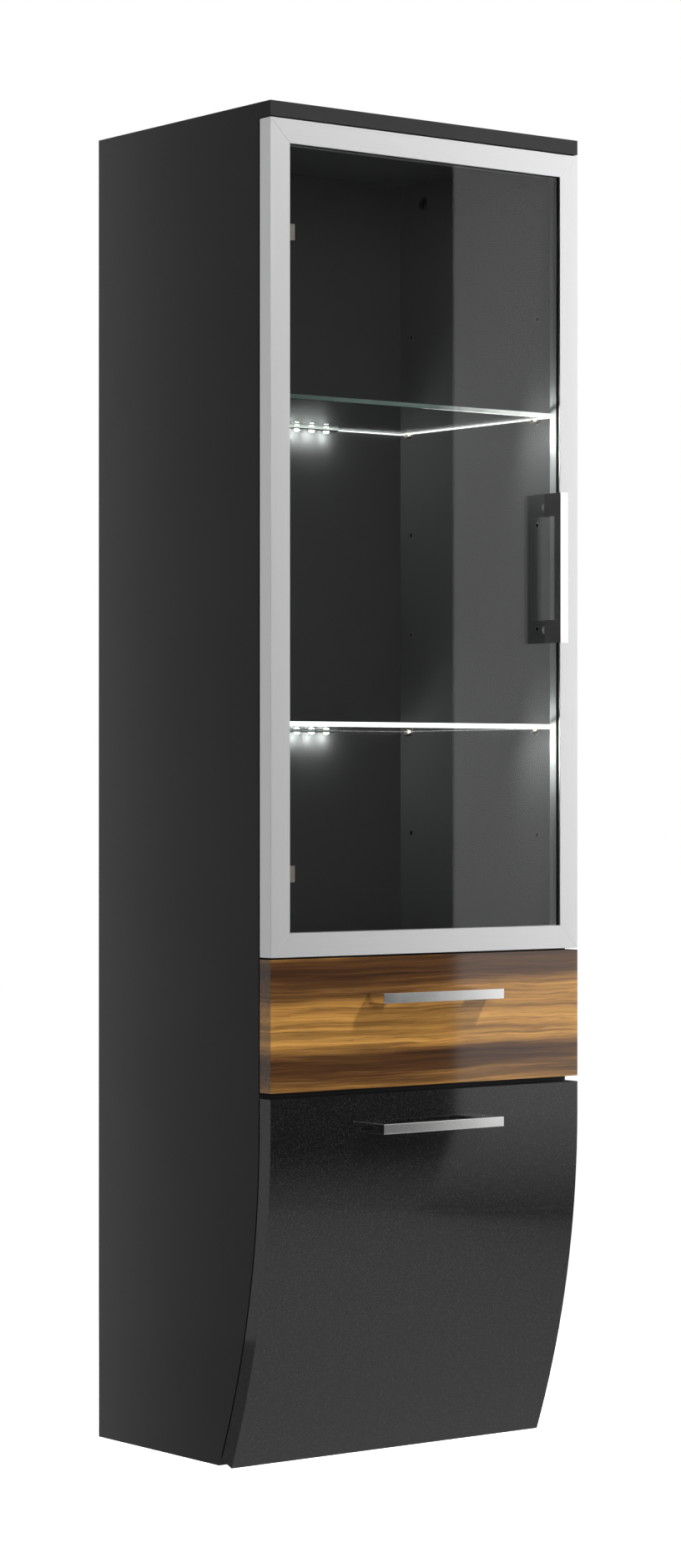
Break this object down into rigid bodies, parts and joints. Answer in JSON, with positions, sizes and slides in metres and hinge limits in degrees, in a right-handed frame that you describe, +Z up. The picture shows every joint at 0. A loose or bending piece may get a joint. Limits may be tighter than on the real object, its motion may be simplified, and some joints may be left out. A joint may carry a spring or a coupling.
{
  "type": "wall-hung display cabinet",
  "caption": "Tall narrow wall-hung display cabinet with a framed glass door over lit glass shelves, a drawer and a curved drop-down flap.",
  "frame": {"origin": "on the wall plane, at the middle of the width and at the level of the cabinet's underside", "axes": "+Z up, +Y into the wall, +X to the right as seen from the front; the fronts face -Y"},
  "size_m": [0.4, 0.33, 1.36],
  "materials": {
    "anthracite": "satin laminate",
    "back_laminate": "satin laminate",
    "zinc": "plain",
    "steel": "plain",
    "beech": "plain",
    "dark_plastic": "matte",
    "shelf_glass": "clear, edge-lit",
    "door_glass": "clear",
    "nickel": "satin nickel",
    "clip_metal": "polished",
    "lens": "lit",
    "frame_aluminium": "satin anodised",
    "black_rubber": "matte",
    "chrome": "polished",
    "clear_plastic": "clear",
    "walnut": "high gloss",
    "box_board": "satin laminate",
    "metallic": "high gloss metallic lacquer",
    "nylon": "plain",
    "runner_steel": "white powder coat"
  },
  "bodies": {
    "carcass": {"top_panel": "anthracite", "left_side": "anthracite", "right_side": "anthracite", "bottom_panel": "anthracite", "upper_divider": "anthracite", "lower_divider": "anthracite", "back_panel": "back_laminate", "cam_locks": "zinc", "cam_bolts": "steel", "wood_dowels": "beech", "hanger_bodies": "steel", "hanger_hooks": "steel", "cable_grommet": "dark_plastic", "glass_shelf_lower": "shelf_glass", "glass_shelf_upper": "shelf_glass", "shelf_pins": "nickel", "led_clips": "clip_metal", "led_lenses": "lens", "hinge_plates": "nickel", "door_hinge_arms": "nickel", "flap_hinge_arms": "nickel", "carcass_screws": "nickel", "left_runner_channel": "runner_steel", "right_runner_channel": "runner_steel"},
    "glass_door": {"door_left_stile": "frame_aluminium", "door_right_stile": "frame_aluminium", "door_top_rail": "frame_aluminium", "door_bottom_rail": "frame_aluminium", "door_corner_brackets": "zinc", "door_glass": "door_glass", "door_seal": "black_rubber", "door_handle": "chrome", "door_handle_screws": "steel", "door_handle_washers": "clear_plastic", "door_hinge_brackets": "nickel", "door_hinge_pins": "steel", "door_bumpers": "clear_plastic"},
    "drawer": {"drawer_front": "walnut", "drawer_left_side": "box_board", "drawer_right_side": "box_board", "drawer_back": "box_board", "drawer_bottom": "box_board", "drawer_dowels": "beech", "drawer_handle": "chrome", "drawer_handle_screws": "steel", "drawer_left_rail": "runner_steel", "drawer_right_rail": "runner_steel", "drawer_rail_screws": "nickel", "drawer_bumpers": "clear_plastic"},
    "flap": {"flap_panel": "metallic", "flap_handle": "chrome", "flap_handle_screws": "steel", "flap_hinge_brackets": "nickel", "flap_hinge_pins": "steel", "flap_bumpers": "clear_plastic"},
    "front_left_roller": {"front_left_roller": "nylon"},
    "front_right_roller": {"front_right_roller": "nylon"},
    "rear_left_roller": {"rear_left_roller": "nylon"},
    "rear_right_roller": {"rear_right_roller": "nylon"}
  },
  "joints": [
    {"name": "door_hinge", "type": "hinge", "parent": "carcass", "child": "glass_door", "pos_m": [-0.1945, -0.295, 0.915], "axis": [0, 0, -1], "range_deg": [0, 95]},
    {"name": "drawer_slide", "type": "slide", "parent": "carcass", "child": "drawer", "axis": [0, -1, 0], "range_m": [0, 0.185]},
    {"name": "flap_hinge", "type": "hinge", "parent": "carcass", "child": "flap", "pos_m": [0, -0.23184, 0.00844], "axis": [1, 0, 0], "range_deg": [0, 90]},
    {"name": "front_left_roll", "type": "hinge", "parent": "carcass", "child": "front_left_roller", "pos_m": [-0.1798, -0.269, 0.3974], "axis": [1, 0, 0], "continuous": true},
    {"name": "rear_left_roll", "type": "hinge", "parent": "drawer", "child": "rear_left_roller", "pos_m": [-0.1798, -0.054, 0.3969], "axis": [1, 0, 0], "continuous": true},
    {"name": "front_right_roll", "type": "hinge", "parent": "carcass", "child": "front_right_roller", "pos_m": [0.1798, -0.269, 0.3974], "axis": [1, 0, 0], "continuous": true},
    {"name": "rear_right_roll", "type": "hinge", "parent": "drawer", "child": "rear_right_roller", "pos_m": [0.1798, -0.054, 0.3969], "axis": [1, 0, 0], "continuous": true}
  ],
  "couplings": [
    {"joint": "front_left_roll", "follows": "drawer_slide", "rad_per_m": 96.154},
    {"joint": "rear_left_roll", "follows": "drawer_slide", "rad_per_m": 106.38},
    {"joint": "front_right_roll", "follows": "drawer_slide", "rad_per_m": 96.154},
    {"joint": "rear_right_roll", "follows": "drawer_slide", "rad_per_m": 106.38}
  ]
}
